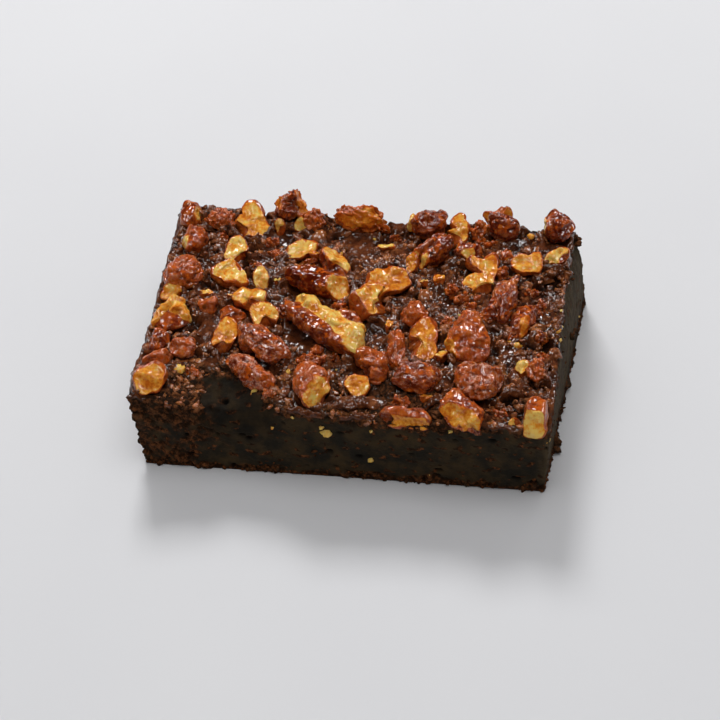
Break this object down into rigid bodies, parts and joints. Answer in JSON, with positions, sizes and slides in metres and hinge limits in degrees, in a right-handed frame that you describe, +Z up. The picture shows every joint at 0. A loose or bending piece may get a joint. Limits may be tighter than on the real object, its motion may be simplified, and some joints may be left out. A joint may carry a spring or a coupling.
{
  "type": "chocolate brownie",
  "caption": "Rectangular slice of fudgy chocolate brownie with cut dark sides and a crusty top covered in chopped, glazed pecans.",
  "frame": {"origin": "centre of the object's box in plan, at the height of the surface that it stands on", "axes": "+Z up, +X along the long side of the slice to the right, -Y towards the long cut side seen from the front"},
  "size_m": [0.1054, 0.0726, 0.033],
  "materials": {
    "chocolate_crumb": "near-black, moist, dense chocolate crumb with a knife's smear on the cut sides and rusty brown crumbs low down",
    "chocolate_crust": "brown, uneven baked crust, in places wet with glaze",
    "pecan_skin": "red-brown, ridged pecan skin under a glossy sugar glaze",
    "pecan_flesh": "cream to amber broken pecan flesh under a thin glaze",
    "sugar_glaze": "dark, clear, glossy sugar glaze lying in the hollows of the top"
  },
  "bodies": {
    "root": {"brownie": "chocolate_crumb", "pecan_01": "pecan_skin", "pecan_02": "pecan_skin", "pecan_03": "pecan_flesh", "pecan_04": "pecan_skin", "pecan_05": "pecan_skin", "pecan_06": "pecan_skin", "pecan_07": "pecan_skin", "pecan_08": "pecan_flesh", "pecan_09": "pecan_skin", "pecan_10": "pecan_skin", "pecan_11": "pecan_flesh", "pecan_12": "pecan_skin", "pecan_13": "pecan_skin", "pecan_14": "pecan_flesh", "pecan_15": "pecan_flesh", "pecan_16": "pecan_flesh", "pecan_17": "pecan_skin", "pecan_18": "pecan_skin", "pecan_19": "pecan_flesh", "pecan_20": "pecan_flesh", "pecan_21": "pecan_flesh", "pecan_22": "pecan_skin", "pecan_23": "pecan_flesh", "pecan_24": "pecan_flesh", "pecan_25": "pecan_flesh", "pecan_26": "pecan_flesh", "pecan_27": "pecan_skin", "pecan_28": "pecan_flesh", "pecan_29": "pecan_flesh", "pecan_30": "pecan_skin", "pecan_31": "pecan_flesh", "pecan_32": "pecan_skin", "pecan_33": "pecan_flesh", "pecan_34": "pecan_flesh", "pecan_35": "pecan_flesh", "pecan_36": "pecan_skin", "pecan_37": "pecan_flesh", "pecan_38": "pecan_skin", "pecan_39": "pecan_flesh", "pecan_40": "pecan_skin", "pecan_41": "pecan_skin", "pecan_42": "pecan_skin", "pecan_43": "pecan_flesh", "pecan_44": "pecan_skin", "pecan_45": "pecan_skin", "pecan_46": "pecan_skin", "pecan_47": "pecan_skin", "pecan_48": "pecan_skin", "pecan_49": "pecan_flesh", "pecan_50": "pecan_skin", "pecan_51": "pecan_skin", "pecan_52": "pecan_flesh", "pecan_53": "pecan_skin", "pecan_54": "pecan_skin", "pecan_55": "pecan_skin", "pecan_56": "pecan_skin", "pecan_57": "pecan_skin"}
  },
  "joints": []
}
